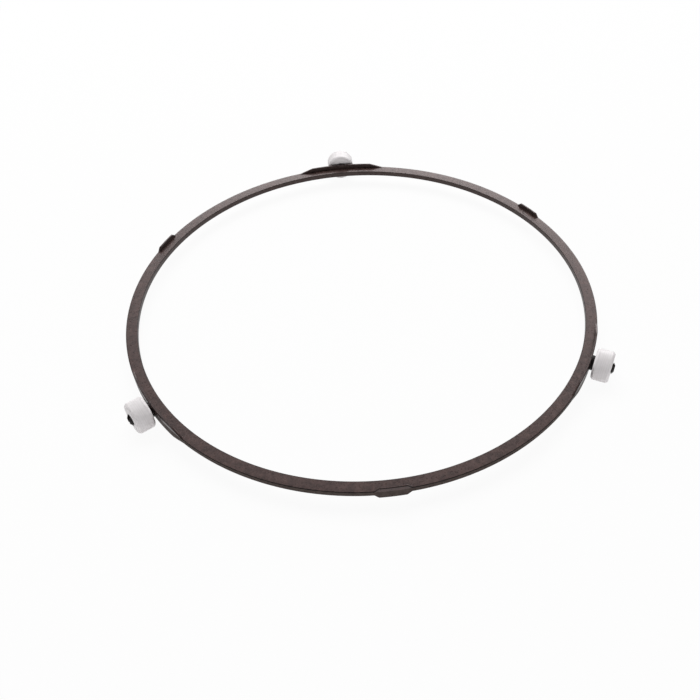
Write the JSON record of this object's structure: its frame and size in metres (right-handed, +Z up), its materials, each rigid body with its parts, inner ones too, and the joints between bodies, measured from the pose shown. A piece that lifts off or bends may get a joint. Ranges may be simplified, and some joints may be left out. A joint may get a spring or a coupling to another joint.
{
  "type": "microwave roller ring",
  "caption": "Flat moulded ring with white rollers on outward stub axles, which carries a microwave oven's glass tray and rolls round on the oven floor.",
  "frame": {"origin": "on the ring's axis, in the plane of the roller axles, which is the middle of the band", "axes": "+Z up along the ring's axis, +Y out through roller_1"},
  "size_m": [0.23, 0.2408, 0.0148],
  "materials": {
    "ring_plastic": "semi-gloss dark brown moulded plastic with a fine grain",
    "roller_plastic": "satin white moulded plastic"
  },
  "bodies": {
    "ring": {"ring": "ring_plastic"},
    "roller_1": {"roller_1": "roller_plastic"},
    "roller_2": {"roller_2": "roller_plastic"},
    "roller_3": {"roller_3": "roller_plastic"}
  },
  "joints": [
    {"name": "roller_1_spin", "type": "hinge", "parent": "ring", "child": "roller_1", "pos_m": [0, 0.12045, 0], "axis": [0, 1, 0], "continuous": true},
    {"name": "roller_2_spin", "type": "hinge", "parent": "ring", "child": "roller_2", "pos_m": [-0.10431, -0.06023, 0], "axis": [-0.866, -0.5, 0], "continuous": true},
    {"name": "roller_3_spin", "type": "hinge", "parent": "ring", "child": "roller_3", "pos_m": [0.10431, -0.06023, 0], "axis": [0.866, -0.5, 0], "continuous": true}
  ]
}
